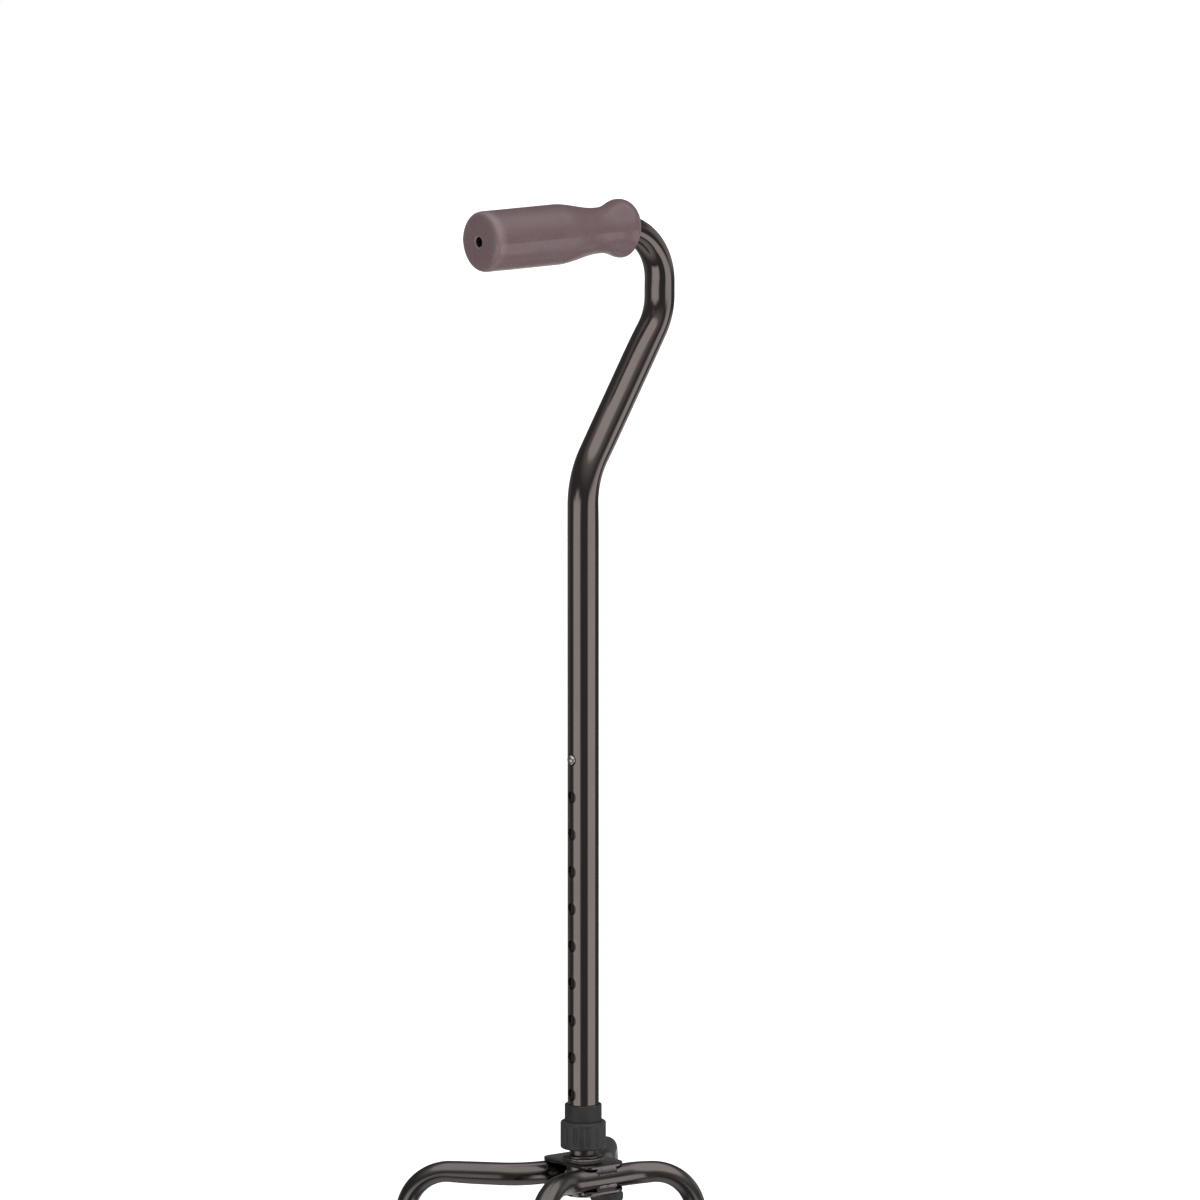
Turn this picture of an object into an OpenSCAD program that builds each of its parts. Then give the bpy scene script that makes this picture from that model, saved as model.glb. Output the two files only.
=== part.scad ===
// Quad walking cane with an offset handle, a sliding upper tube and a four-footed base.
// The base stands on z = 0 with its footprint centred on the origin.
// The grip points to -y, and the user walks on the +x side.

/* [Overall] */
// Height of the grip's top above the floor at the lowest setting
overall_height = 762; // [750:1:790]
// Distance of the shaft from the middle of the footprint, towards the user
stem_x = 24; // [20:1:26]

/* [Upper tube] */
// Outside diameter of the upper tube
tube_d = 22; // [21.6:0.1:22.4]
// Wall of the upper tube
tube_wall = 1.2; // [1:0.1:1.4]
// Height of the upper tube's lower end at the lowest setting
tube_end_z = 112; // [110:0.5:114]

/* [Offset handle] */
// Distance that the tube swings behind the shaft
offset_y = 67.7; // [66:0.1:72]
// Angle between the shaft and the slanted part of the tube
offset_angle = 31.5; // [29:0.1:34]
// Centre-line radius of the bend at the foot of the slanted part
lower_bend_r = 66; // [56:1:70]
// Centre-line radius of the bend at the head of the slanted part
rear_bend_r = 45; // [40:1:50]
// Upright run between that bend and the quarter bend into the handle
upright_run = 9.8; // [8:0.1:12]
// Centre-line radius of the quarter bend into the handle
top_bend_r = 39.5; // [38:0.5:42]

/* [Grip] */
// Length of the grip
grip_length = 133; // [130:0.5:134]
// Distance of the grip's outer end in front of the shaft
grip_reach = 91.9; // [89:0.1:94]
// Radius of the grip's palm part
grip_r = 21.1; // [20.4:0.1:22]
// Radius of the waist between palm part and heel
grip_waist_r = 16; // [15.8:0.1:17]
// Radius of the heel bulge at the rear
grip_heel_r = 20.5; // [20:0.1:21.2]
// Diameter of the vent hole in the outer end
vent_d = 7; // [4:0.5:8]

/* [Height adjustment] */
// Number of adjustment holes
hole_count = 10; // [6:1:10]
// Distance between adjustment holes
hole_pitch = 26.4; // [25:0.1:26.4]
// Diameter of an adjustment hole
hole_d = 8; // [7.8:0.1:8.4]
// Height of the top hole, and of the snap button
button_z = 370.9; // [368:0.1:374]
// Diameter of the snap button
button_d = 7; // [6.4:0.1:7.2]
// Length of the snap button outside the upper tube
button_proud = 2; // [1.6:0.1:2.4]

/* [Locking ring] */
// Outside diameter of the locking ring
ring_d = 32; // [31:0.5:34]
// Height of the locking ring
ring_height = 19.5; // [18:0.5:20]
// Number of finger flutes round the locking ring
flute_count = 12; // [8:1:14]

/* [Base] */
// Outside diameter of the leg tubes
leg_d = 16; // [15:0.5:17]
// Wall of the leg tubes
leg_wall = 1.5; // [1.2:0.1:2]
// Height of the leg tubes' horizontal stretch
arm_z = 76; // [75:0.5:78]
// Sideways distance of the feet from the middle of the footprint
foot_x = 62.5; // [60:0.5:66]
// Distance of the outer feet in front of and behind the middle
outer_foot_y = 90; // [88:1:94]
// Distance of the inner feet in front of and behind the middle
inner_foot_y = 70; // [68:1:74]
// Angle by which the outer leg tube turns away from the shaft
outer_splay = 49.5; // [48:0.5:54]
// Angle by which the inner leg tube turns away from the shaft
inner_splay = 23.5; // [23:0.5:25]

/* [Rubber tips] */
// Height of a rubber tip
tip_height = 38; // [34:1:40]
// Diameter of a rubber tip at the floor
tip_foot_d = 29; // [27:0.5:31]
// Thickness of rubber under the washer
tip_sole = 8; // [6:0.5:10]

/* [Hidden] */
$fn = 96;

// Clearances
slide_gap = 0.3;
running_gap = 0.05;
past = 1;

// A bent tube is a little thinner in its bends
bend_neck = 0.05;
bend_overlap = 0.5;

// Colours
bronze = [0.24, 0.22, 0.21];
mauve_vinyl = [0.47, 0.40, 0.40];
black_nylon = [0.08, 0.08, 0.08];
bright_steel = [0.75, 0.74, 0.72];
tip_rubber = [0.10, 0.10, 0.10];

// Upper tube: straight shaft, slanted part, upright run, quarter bend, handle
tube_r = tube_d / 2;
tube_bore_r = tube_r - tube_wall;
handle_z = overall_height - grip_r;
grip_end_wall = 6;
handle_front_y = grip_reach - grip_end_wall;
handle_run = handle_front_y + offset_y - top_bend_r;
slant_run = (offset_y - (lower_bend_r + rear_bend_r) * (1 - cos(offset_angle))) / sin(offset_angle);
slant_rise = (lower_bend_r + rear_bend_r) * sin(offset_angle) + slant_run * cos(offset_angle);
lower_bend_z = handle_z - top_bend_r - upright_run - slant_rise;

// Grip profile, measured along the handle from its outer end
grip_edge_r = 6;
grip_palm_end = 67.5;
grip_waist_at = 103.4;
grip_heel_at = 123.6;
grip_rear_r = 14.8;
profile_step = 1.65;

// Stem tube slides inside the upper tube
stem_r = tube_bore_r - slide_gap;
stem_wall = 1.35;
stem_bore_r = stem_r - stem_wall;
stem_top_z = button_z + 29.6;
stem_hole_d = button_d + 0.4;

// Hub and gusset plates hold the stem between the two leg tubes
hub_r = 12.7;
hub_height = 29;
hub_top_z = arm_z + 14;
hub_bottom_z = hub_top_z - hub_height;
leg_r = leg_d / 2;
arm_offset = hub_r + leg_r;
gusset_thickness = 2.5;
rivet_r = 2.5;
rivet_head_r = 4.5;
rivet_head_height = 1.8;

// Snap spring: a strip bent into a V inside the stem
strip = 0.6;
strip_width = 7;
strip_reach = stem_bore_r - 1.15;
apex_r = 3;
apex_drop = 40;
pad_half = 6;
stud_r = 1.5;

// Collet bush on the upper tube's lower end, with the locking ring round it
collet_r = 13;
collet_drop = 15;
collet_nose = 3;
socket_depth = 14;
ring_r = ring_d / 2;
ring_bottom_z = tube_end_z - 17.5;
ring_lip = 1.9;

// Leg tubes
plan_bend_r = 40;
leg_bend_r = 32;
washer_thickness = 1.5;
leg_end_z = tip_sole + washer_thickness;
tip_foot_r = tip_foot_d / 2;

// ---- Shared shapes ----

module ring_shape(outer_r, inner_r) {
    difference() {
        circle(outer_r);
        circle(inner_r);
    }
}

// Carries a section along a path that starts at the origin towards +z.
// A step is [straight length, bend radius, bend angle, roll before the step].
// The first child is the section of the straights, the second that of the bends.
// A straight reaches a little way into the thinner bends next to it.
module sweep(steps, i = 0) {
    run = steps[i][0];
    bend_r = steps[i][1];
    angle = steps[i][2];
    before = i > 0 ? bend_overlap : 0;
    after = angle > 0 ? bend_overlap : 0;
    rotate(steps[i][3]) {
        translate([0, 0, -before]) linear_extrude(before + run + after) children(0);
        if (angle > 0) {
            translate([bend_r, 0, run]) {
                rotate([90, 0, 0]) rotate_extrude(angle = angle, start = 180 - angle)
                    translate([bend_r, 0]) children(1);
                if (i + 1 < len(steps)) {
                    rotate([0, angle, 0]) translate([-bend_r, 0, 0]) sweep(steps, i + 1) {
                        children(0);
                        children(1);
                    }
                }
            }
        }
    }
}

module bent_tube(steps, outer_r, inner_r) {
    sweep(steps) {
        ring_shape(outer_r, inner_r);
        ring_shape(outer_r - bend_neck, inner_r + bend_neck);
    }
}

module rounded_plate(width, depth, corner_r) {
    square([width - 2 * corner_r, depth], center = true);
    square([width, depth - 2 * corner_r], center = true);
    for (x = [-1, 1], y = [-1, 1]) {
        translate([x * (width / 2 - corner_r), y * (depth / 2 - corner_r)]) circle(corner_r);
    }
}

// ---- Upper tube and grip ----

module upper_tube() {
    shaft_run = lower_bend_z - tube_end_z;
    path = [
        [shaft_run, lower_bend_r, offset_angle, 90],
        [slant_run, rear_bend_r, offset_angle, 180],
        [upright_run, top_bend_r, 90, 0],
        [handle_run, 0, 0, 0]
    ];
    color(bronze) difference() {
        translate([stem_x, 0, tube_end_z]) bent_tube(path, tube_r, tube_bore_r);
        for (i = [0 : hole_count - 1]) {
            translate([stem_x, 0, button_z - i * hole_pitch]) rotate([90, 0, 0])
                cylinder(d = hole_d, h = tube_d + 2 * past, center = true);
        }
    }
}

// Half a cosine wave from one radius to another
function ease(from_r, to_r, t) = to_r + (from_r - to_r) * (1 + cos(180 * t)) / 2;

function grip_radius(s) =
    s < grip_edge_r ? grip_r - grip_edge_r + sqrt(grip_edge_r ^ 2 - (grip_edge_r - s) ^ 2) :
    s < grip_palm_end ? grip_r :
    s < grip_waist_at
        ? ease(grip_r, grip_waist_r, (s - grip_palm_end) / (grip_waist_at - grip_palm_end)) :
    s < grip_heel_at
        ? ease(grip_waist_r, grip_heel_r, (s - grip_waist_at) / (grip_heel_at - grip_waist_at)) :
    grip_rear_r + (grip_heel_r - grip_rear_r)
        * sqrt(max(0, 1 - ((s - grip_heel_at) / (grip_length - grip_heel_at)) ^ 2));

module grip() {
    edge_arc = [for (a = [0 : 15 : 75]) grip_edge_r * (1 - cos(a))];
    curves = [for (s = [grip_palm_end : profile_step : grip_heel_at]) s];
    heel_arc = [for (a = [0 : 15 : 90]) grip_heel_at + (grip_length - grip_heel_at) * sin(a)];
    stations = concat(edge_arc, [grip_edge_r], curves, heel_arc);
    outline = [for (s = stations) [grip_radius(s), s]];
    bore = [[handle_run, top_bend_r, 45, 90]];
    color(mauve_vinyl) translate([stem_x, -grip_reach, handle_z]) rotate([-90, 0, 0])
        difference() {
            rotate_extrude() polygon(concat([[0, 0]], outline, [[0, grip_length]]));
            translate([0, 0, grip_end_wall]) sweep(bore) {
                circle(tube_r + running_gap);
                circle(tube_r + slide_gap);
            }
            translate([0, 0, -past]) cylinder(d = vent_d, h = grip_end_wall + 2 * past);
        }
}

// ---- Height adjustment ----

module collet_bush() {
    nose_z = tube_end_z - collet_drop;
    top_z = tube_end_z + socket_depth;
    bore_r = stem_r + running_gap;
    socket_r = tube_r + running_gap;
    slit = 1.2;
    slit_height = 11;
    color(black_nylon) translate([stem_x, 0, 0]) difference() {
        rotate_extrude() polygon([
            [bore_r, nose_z], [collet_r - 1.4, nose_z], [collet_r, nose_z + collet_nose],
            [collet_r, top_z - 1], [collet_r - 0.8, top_z], [socket_r, top_z],
            [socket_r, tube_end_z], [bore_r, tube_end_z]
        ]);
        for (a = [0 : 90 : 270]) {
            rotate(a + 45) translate([0, -slit / 2, nose_z - past])
                cube([collet_r + past, slit, slit_height + past]);
        }
    }
}

module lock_ring() {
    top_z = ring_bottom_z + ring_height;
    edge = 1.5;
    flute_r = 3;
    flute_out = ring_r + flute_r - 1;
    color(black_nylon) translate([stem_x, 0, 0]) difference() {
        rotate_extrude() polygon([
            [stem_r + 0.4, ring_bottom_z], [ring_r - edge, ring_bottom_z],
            [ring_r, ring_bottom_z + edge], [ring_r, top_z - edge], [ring_r - edge, top_z],
            [collet_r + running_gap, top_z], [collet_r + running_gap, ring_bottom_z + ring_lip],
            [stem_r + 0.4, ring_bottom_z + ring_lip]
        ]);
        for (i = [0 : flute_count - 1]) {
            rotate(i * 360 / flute_count) translate([flute_out, 0, ring_bottom_z - past])
                cylinder(r = flute_r, h = ring_height + 2 * past);
        }
    }
}

module snap_button() {
    shank_r = button_d / 2;
    tip = tube_r + button_proud;
    dome = 1.6;
    dome_r = (shank_r ^ 2 + dome ^ 2) / (2 * dome);
    rivet_head = 0.5;
    color(bright_steel) translate([stem_x, 0, button_z]) rotate([90, 0, 0]) {
        intersection() {
            translate([0, 0, strip_reach]) cylinder(r = shank_r, h = tip - strip_reach);
            translate([0, 0, tip - dome_r]) sphere(dome_r);
        }
        translate([0, 0, strip_reach - strip]) cylinder(r = stud_r, h = strip);
        translate([0, 0, strip_reach - strip - rivet_head]) cylinder(r = 2.6, h = rivet_head);
    }
}

module snap_spring() {
    inner_reach = strip_reach - strip;
    inner_r = apex_r - strip;
    outer_face = concat(
        [[-strip_reach, pad_half], [-strip_reach, -pad_half]],
        [for (a = [180 : 15 : 360]) [apex_r * cos(a), apex_r * sin(a) - apex_drop]],
        [[strip_reach, -pad_half], [strip_reach, pad_half]]
    );
    inner_face = concat(
        [[inner_reach, pad_half], [inner_reach, -pad_half]],
        [for (a = [360 : -15 : 180]) [inner_r * cos(a), inner_r * sin(a) - apex_drop]],
        [[-inner_reach, -pad_half], [-inner_reach, pad_half]]
    );
    color(bright_steel) translate([stem_x, 0, button_z]) difference() {
        rotate([90, 0, 90]) linear_extrude(strip_width, center = true)
            polygon(concat(outer_face, inner_face));
        translate([0, -strip_reach, 0]) rotate([90, 0, 0])
            cylinder(r = stud_r + running_gap, h = 3 * strip, center = true);
    }
}

// ---- Stem ----

module stem_tube() {
    bottom_z = hub_bottom_z + 1;
    color(bronze) translate([stem_x, 0, 0]) difference() {
        translate([0, 0, bottom_z]) linear_extrude(stem_top_z - bottom_z)
            ring_shape(stem_r, stem_bore_r);
        translate([0, 0, button_z]) rotate([90, 0, 0])
            cylinder(d = stem_hole_d, h = stem_r + past);
        translate([0, 0, arm_z]) rotate([90, 0, 0])
            cylinder(r = rivet_r + running_gap, h = 2 * (stem_r + past), center = true);
    }
}

module stem_top_bush() {
    plug_depth = 12;
    flange = 3;
    edge = 0.8;
    air_hole_r = 4;
    plug_r = stem_bore_r - running_gap;
    guide_r = tube_bore_r - running_gap;
    color(black_nylon) translate([stem_x, 0, stem_top_z]) rotate_extrude() polygon([
        [air_hole_r, -plug_depth], [plug_r - edge, -plug_depth], [plug_r, edge - plug_depth],
        [plug_r, 0], [guide_r, 0], [guide_r, flange - edge], [guide_r - edge, flange],
        [air_hole_r, flange]
    ]);
}

module stem_bottom_plug() {
    plug_top = 8;
    flange = 1.5;
    plug_r = stem_bore_r - running_gap;
    color(black_nylon) translate([stem_x, 0, hub_bottom_z + 1]) rotate_extrude() polygon([
        [0, -flange], [stem_r - 0.6, -flange], [stem_r, -flange + 0.6], [stem_r, 0],
        [plug_r, 0], [plug_r, plug_top - 1], [plug_r - 1, plug_top], [0, plug_top]
    ]);
}

// ---- Base ----

module base_hub() {
    color(bronze) translate([stem_x, 0, 0]) difference() {
        translate([0, 0, hub_bottom_z]) linear_extrude(hub_height)
            ring_shape(hub_r, stem_r + running_gap);
        translate([0, 0, arm_z]) rotate([90, 0, 0])
            cylinder(r = rivet_r + running_gap, h = 2 * (hub_r + past), center = true);
    }
}

module hub_rivet() {
    dome_r = (rivet_head_r ^ 2 + rivet_head_height ^ 2) / (2 * rivet_head_height);
    color(bright_steel) translate([stem_x, 0, arm_z]) rotate([90, 0, 0]) {
        cylinder(r = rivet_r, h = 2 * hub_r, center = true);
        for (end = [0, 1]) {
            mirror([0, 0, end]) intersection() {
                translate([0, 0, hub_r]) cylinder(r = rivet_head_r, h = rivet_head_height);
                translate([0, 0, hub_r + rivet_head_height - dome_r]) sphere(dome_r);
            }
        }
    }
}

module gusset(bottom_z) {
    width = 2 * arm_offset + 12;
    depth = 36;
    corner_r = 8;
    color(bronze) translate([stem_x, 0, bottom_z]) linear_extrude(gusset_thickness)
        difference() {
            rounded_plate(width, depth, corner_r);
            circle(hub_r + running_gap);
        }
}

module gusset_top() {
    gusset(arm_z + leg_r);
}

module gusset_bottom() {
    gusset(arm_z - leg_r - gusset_thickness);
}

// A leg tube rises from the rear foot, runs past the hub and drops to the front foot.
// Seen from above, the splay angle turns it away from the hub at both ends.
// out is 1 towards the user and -1 away from the user.
module leg_tube(out, splay, foot_y) {
    sideways = abs(out * foot_x - stem_x - out * arm_offset);
    slant = (sideways - plan_bend_r * (1 - cos(splay))) / sin(splay);
    straight = foot_y - plan_bend_r * sin(splay) - slant * cos(splay);
    drop = arm_z - leg_bend_r - leg_end_z;
    path = [
        [drop, leg_bend_r, 90, -90 - out * splay],
        [slant - leg_bend_r, plan_bend_r, splay, out * 90],
        [2 * straight, plan_bend_r, splay, 0],
        [slant - leg_bend_r, leg_bend_r, 90, -out * 90],
        [drop, 0, 0, 0]
    ];
    color(bronze) translate([out * foot_x, foot_y, leg_end_z])
        bent_tube(path, leg_r, leg_r - leg_wall);
}

module leg_tube_inner() {
    leg_tube(1, inner_splay, inner_foot_y);
}

module leg_tube_outer() {
    leg_tube(-1, outer_splay, outer_foot_y);
}

module foot_tip(x, y) {
    neck_r = leg_r + 3;
    bead_r = leg_r + 3.8;
    groove_depth = 1;
    groove_width = 2.5;
    color(tip_rubber) translate([x, y, 0]) difference() {
        rotate_extrude() polygon([
            [0, 0], [tip_foot_r - 1, 0], [tip_foot_r, 1.2], [tip_foot_r, 5],
            [tip_foot_r - 1.2, 7], [neck_r + 0.8, 14], [neck_r, 18], [neck_r, tip_height - 6],
            [bead_r, tip_height - 4.5], [bead_r, tip_height - 1.2],
            [bead_r - 1.2, tip_height], [0, tip_height]
        ]);
        translate([0, 0, tip_sole]) cylinder(r = leg_r + running_gap, h = tip_height);
        for (groove_r = [5, 10]) {
            translate([0, 0, -past]) linear_extrude(groove_depth + past)
                ring_shape(groove_r + groove_width, groove_r);
        }
    }
}

module tip_washer(x, y) {
    color(bright_steel) translate([x, y, tip_sole]) linear_extrude(washer_thickness)
        ring_shape(leg_r - 0.2, 2.5);
}

module foot_tip_front_inner() {
    foot_tip(foot_x, -inner_foot_y);
}

module foot_tip_rear_inner() {
    foot_tip(foot_x, inner_foot_y);
}

module foot_tip_front_outer() {
    foot_tip(-foot_x, -outer_foot_y);
}

module foot_tip_rear_outer() {
    foot_tip(-foot_x, outer_foot_y);
}

module tip_washer_front_inner() {
    tip_washer(foot_x, -inner_foot_y);
}

module tip_washer_rear_inner() {
    tip_washer(foot_x, inner_foot_y);
}

module tip_washer_front_outer() {
    tip_washer(-foot_x, -outer_foot_y);
}

module tip_washer_rear_outer() {
    tip_washer(-foot_x, outer_foot_y);
}

upper_tube();
grip();
collet_bush();
lock_ring();
snap_button();
snap_spring();
stem_tube();
stem_top_bush();
stem_bottom_plug();
base_hub();
hub_rivet();
gusset_top();
gusset_bottom();
leg_tube_inner();
leg_tube_outer();
foot_tip_front_inner();
foot_tip_rear_inner();
foot_tip_front_outer();
foot_tip_rear_outer();
tip_washer_front_inner();
tip_washer_rear_inner();
tip_washer_front_outer();
tip_washer_rear_outer();
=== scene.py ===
"""Looks of the quad walking cane: its visible pieces, materials, studio light and camera.

Everything is in metres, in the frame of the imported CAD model.
"""

from math import asin, ceil, cos, erf, exp, hypot, pi, radians, sin, sqrt, tan

import bmesh
import bpy
from mathutils import Matrix, Vector, noise


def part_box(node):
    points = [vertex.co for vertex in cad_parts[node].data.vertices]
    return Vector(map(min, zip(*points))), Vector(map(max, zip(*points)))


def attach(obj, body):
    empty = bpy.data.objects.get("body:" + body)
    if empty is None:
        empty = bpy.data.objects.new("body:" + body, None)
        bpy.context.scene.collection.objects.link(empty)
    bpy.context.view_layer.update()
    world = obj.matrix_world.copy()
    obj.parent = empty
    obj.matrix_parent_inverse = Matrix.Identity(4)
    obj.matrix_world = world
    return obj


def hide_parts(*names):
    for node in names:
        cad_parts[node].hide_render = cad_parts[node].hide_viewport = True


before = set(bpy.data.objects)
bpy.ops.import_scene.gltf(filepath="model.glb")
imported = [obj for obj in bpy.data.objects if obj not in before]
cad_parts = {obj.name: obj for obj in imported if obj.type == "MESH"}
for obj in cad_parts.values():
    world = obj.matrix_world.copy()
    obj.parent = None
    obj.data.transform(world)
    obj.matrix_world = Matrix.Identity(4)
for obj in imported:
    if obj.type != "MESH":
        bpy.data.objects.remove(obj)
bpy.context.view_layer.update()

MM = 0.001
TURN = 2 * pi


# ---- Measures taken from the frame ----

def middle(node):
    low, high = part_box(node)
    return (low + high) / 2


def half_width(node):
    low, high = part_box(node)
    return (high.x - low.x) / 2


STEM_X = middle("stem_tube").x
STEM_R = half_width("stem_tube")
STEM_BOTTOM_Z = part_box("stem_tube")[0].z
STEM_TOP_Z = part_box("stem_tube")[1].z
TUBE_R = half_width("upper_tube")
TUBE_END_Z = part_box("upper_tube")[0].z
TUBE_FRONT_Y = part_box("upper_tube")[0].y
GRIP_R = half_width("grip")
GRIP_FRONT_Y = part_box("grip")[0].y
HANDLE_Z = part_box("grip")[1].z - GRIP_R
BUTTON_Z = middle("snap_button").z
BUTTON_FRONT = -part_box("snap_button")[0].y
BUTTON_BACK = -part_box("snap_button")[1].y
HUB_R = half_width("base_hub")
HUB_BOTTOM_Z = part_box("base_hub")[0].z
HUB_TOP_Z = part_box("base_hub")[1].z
ARM_Z = middle("hub_rivet").z
RIVET_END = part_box("hub_rivet")[1].y
COLLET_R = half_width("collet_bush")
COLLET_BOTTOM_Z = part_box("collet_bush")[0].z
COLLET_TOP_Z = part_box("collet_bush")[1].z
RING_BOTTOM_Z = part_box("lock_ring")[0].z
RING_TOP_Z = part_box("lock_ring")[1].z
GUSSET_HALF_X = half_width("gusset_top")
GUSSET_HALF_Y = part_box("gusset_top")[1].y
GUSSET_TOP_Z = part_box("gusset_top")[1].z
GUSSET_THICKNESS = GUSSET_TOP_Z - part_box("gusset_top")[0].z
TIP_R = half_width("foot_tip_front_inner")
TIP_TOP_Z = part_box("foot_tip_front_inner")[1].z
LEG_END_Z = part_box("leg_tube_inner")[0].z
LEG_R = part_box("leg_tube_inner")[1].z - ARM_Z

# Sizes that no box gives
TUBE_WALL = 1.2 * MM
STEM_WALL = 1.35 * MM
LEG_WALL = 1.5 * MM
OFFSET_ANGLE = radians(31.5)
OFFSET_Y = 67.7 * MM
LOWER_BEND_R = 66 * MM
REAR_BEND_R = 45 * MM
UPRIGHT_RUN = 9.8 * MM
TOP_BEND_R = 39.5 * MM
HOLE_COUNT = 10
HOLE_PITCH = 26.4 * MM
HOLE_R = 4 * MM
VENT_R = 3.5 * MM
STEM_HOLE_R = 3.7 * MM
LEG_BEND_R = 32 * MM
PLAN_BEND_R = 40 * MM


# ---- Meshes ----

def clamp(value, low=0.0, high=1.0):
    return max(low, min(high, value))


def smooth(value):
    t = clamp(value)
    return t * t * (3 - 2 * t)


class Shell:
    """The points and faces of one piece. A place says where on its unbent stock a point was."""

    def __init__(self):
        self.points = []
        self.places = []
        self.faces = []

    def loop(self, points, places=None):
        first = len(self.points)
        self.points.extend(tuple(p) for p in points)
        self.places.extend(tuple(p) for p in (points if places is None else places))
        return list(range(first, len(self.points)))

    def bridge(self, a, b, skip=()):
        for i in range(len(a)):
            if i not in skip:
                j = (i + 1) % len(a)
                self.faces.append((a[i], a[j], b[j], b[i]))

    def skin(self, loops, closed=False):
        for a, b in zip(loops, loops[1:]):
            self.bridge(a, b)
        if closed:
            self.bridge(loops[-1], loops[0])

    def cap(self, loop):
        centre = sum((Vector(self.points[i]) for i in loop), Vector()) / len(loop)
        middle_point = self.loop([centre])[0]
        for i, j in zip(loop, loop[1:] + loop[:1]):
            self.faces.append((i, j, middle_point))


def make_piece(shell, name, body, nodes, material, sharp=35):
    mesh = bpy.data.meshes.new(name)
    mesh.from_pydata(shell.points, [], shell.faces)
    place = mesh.attributes.new("place", "FLOAT_VECTOR", "POINT")
    place.data.foreach_set("vector", [x for p in shell.places for x in p])
    clean = bmesh.new()
    clean.from_mesh(mesh)
    bmesh.ops.recalc_face_normals(clean, faces=clean.faces)
    clean.to_mesh(mesh)
    clean.free()
    mesh.shade_smooth()
    mesh.set_sharp_from_angle(angle=radians(sharp))
    mesh.materials.append(material)
    made = bpy.data.objects.new(name, mesh)
    bpy.context.scene.collection.objects.link(made)
    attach(made, body)
    if nodes:
        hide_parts(*nodes)
    return made


def rounded(corners, steps=5, closed=True):
    """An outline of (x, y, fillet radius) corners, as points with each fillet an arc."""
    outline = []
    count = len(corners)
    for i, (x, y, fillet) in enumerate(corners):
        here = Vector((x, y))
        if fillet == 0 or (not closed and i in (0, count - 1)):
            outline.append(here)
            continue
        before = (Vector(corners[i - 1][:2]) - here).normalized()
        after = (Vector(corners[(i + 1) % count][:2]) - here).normalized()
        half = before.angle(after) / 2
        centre = here + (before + after).normalized() * fillet / sin(half)
        start = here + before * fillet / tan(half) - centre
        sweep = start.angle_signed(here + after * fillet / tan(half) - centre)
        for k in range(steps + 1):
            outline.append(centre + Matrix.Rotation(-sweep * k / steps, 2) @ start)
    return outline


def revolve(shell, profile, centre, sides=96, closed=True, shape=None):
    """Turns a profile of (radius, height) points round a vertical axis through centre."""
    loops = []
    for radius, height in profile:
        ring = []
        for i in range(sides):
            angle = TURN * i / sides
            r = radius if shape is None else shape(angle, radius, height)
            ring.append((centre.x + r * cos(angle), centre.y + r * sin(angle), centre.z + height))
        loops.append(shell.loop(ring))
    shell.skin(loops, closed)
    if not closed:
        shell.cap(loops[0])
        shell.cap(loops[-1])
    return loops


def turn_points(shell, matrix):
    shell.points = [tuple(matrix @ Vector(p)) for p in shell.points]


class Rail:
    """The centre line of a bent tube that sets off towards +z.

    A step is (straight length, bend radius, bend angle, roll before the step). A bend flattens
    the tube, most on its inside, and widens it; this fades in and out over EASE at its ends.
    """

    INNER_FLATTENING = 3.0
    OUTER_FLATTENING = 0.8
    WIDENING = 0.6
    EASE = 14 * MM

    def __init__(self, start, steps):
        self.parts = []
        pose = Matrix.Translation(start)
        roll = travelled = 0.0
        for length, bend_r, angle, turn in steps:
            pose = pose @ Matrix.Rotation(turn, 4, "Z")
            roll += turn
            self.parts.append((travelled, length, pose, roll, 0.0))
            pose = pose @ Matrix.Translation((0, 0, length))
            travelled += length
            if angle:
                self.parts.append((travelled, bend_r * angle, pose, roll, bend_r))
                pose = self.bent(pose, bend_r, angle)
                travelled += bend_r * angle
        self.length = travelled

    @staticmethod
    def bent(pose, bend_r, angle):
        out = Matrix.Translation((bend_r, 0, 0))
        return pose @ out @ Matrix.Rotation(angle, 4, "Y") @ out.inverted()

    def at(self, distance):
        """The pose and the roll at a distance along the line."""
        part = [p for p in self.parts if p[0] <= distance + 1e-9][-1]
        begin, _, pose, roll, bend_r = part
        if bend_r:
            return self.bent(pose, bend_r, (distance - begin) / bend_r), roll
        return pose @ Matrix.Translation((0, 0, distance - begin)), roll

    def section(self, distance, tube_r, angle):
        """A point of the unit circle, moved as the bends flatten the tube there."""
        found = Vector((cos(angle), sin(angle)))
        moved = found.copy()
        for begin, length, _, turn, bend_r in self.parts:
            if bend_r:
                past_start = erf((distance - begin) / self.EASE)
                past_end = erf((distance - begin - length) / self.EASE)
                share = (past_start - past_end) / 2 * (tube_r / bend_r) ** 2
                inward = Vector((cos(turn), sin(turn)))
                lean = found.dot(inward)
                squeeze = self.INNER_FLATTENING if lean > 0 else self.OUTER_FLATTENING
                moved -= inward * lean * share * squeeze
                moved += (found - inward * lean) * share * self.WIDENING
        return moved

    def rows(self, straight_step, bend_step):
        """Distances for the rows of a tube, close together in the bends."""
        found = []
        for begin, length, _, _, bend_r in self.parts:
            count = max(1, ceil(length / (bend_step if bend_r else straight_step)))
            found.extend(begin + length * i / count for i in range(count))
        return found + [self.length]

    def ring(self, distance, radius, tube_r, angles):
        """The points of one ring and their places on the unbent tube."""
        pose, roll = self.at(distance)
        points = []
        places = []
        for angle in angles:
            flat = Matrix.Rotation(-roll, 2) @ self.section(distance, tube_r, angle) * radius
            points.append(pose @ Vector((*flat, 0)))
            places.append((radius * cos(angle), radius * sin(angle), distance))
        return points, places


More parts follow.
